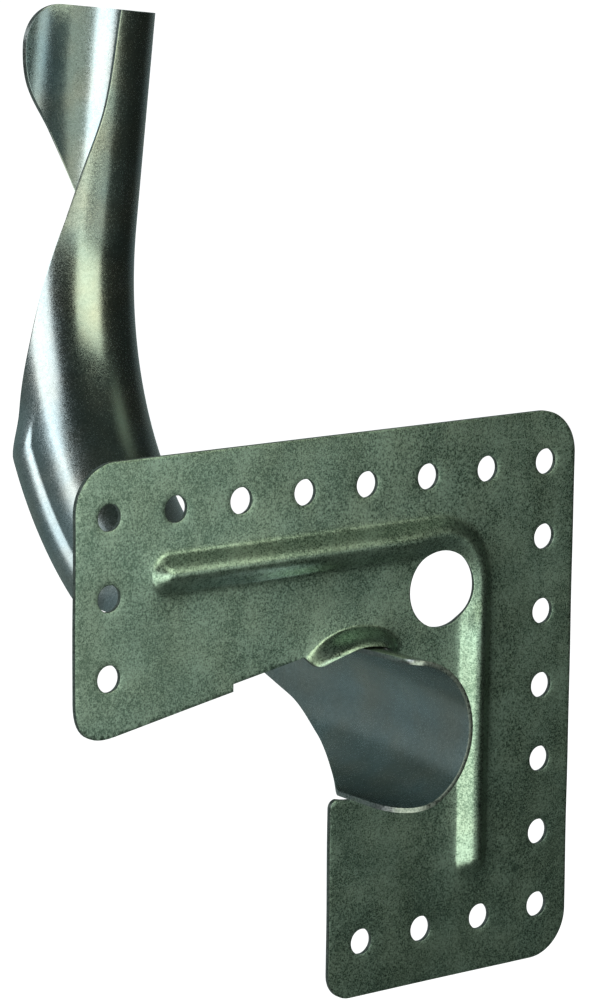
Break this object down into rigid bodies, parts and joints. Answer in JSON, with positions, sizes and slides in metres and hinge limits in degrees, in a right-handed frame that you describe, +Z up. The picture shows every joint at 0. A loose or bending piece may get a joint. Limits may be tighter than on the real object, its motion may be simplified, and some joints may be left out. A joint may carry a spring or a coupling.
{
  "type": "stub-out pipe wall bracket",
  "caption": "L-shaped nailing plate of galvanised sheet with a raised rib and an open trough that leads a flexible pipe back into the wall and up through a long bend.",
  "frame": {"origin": "on the plate's flat back face, on the strip between the rib and the right-hand nail holes, level with the pipe's axis", "axes": "+X to the right seen from the room, +Y square into the wall, +Z up along the riser"},
  "size_m": [0.1016, 0.1205, 0.1563],
  "materials": {
    "plate_zinc": "galvanised sheet with a fine speckled spangle, satin",
    "trough_zinc": "galvanised sheet drawn into a half pipe, smooth and a little glossier"
  },
  "bodies": {
    "root": {"mounting_plate": "plate_zinc", "bend_trough": "trough_zinc"}
  },
  "joints": []
}
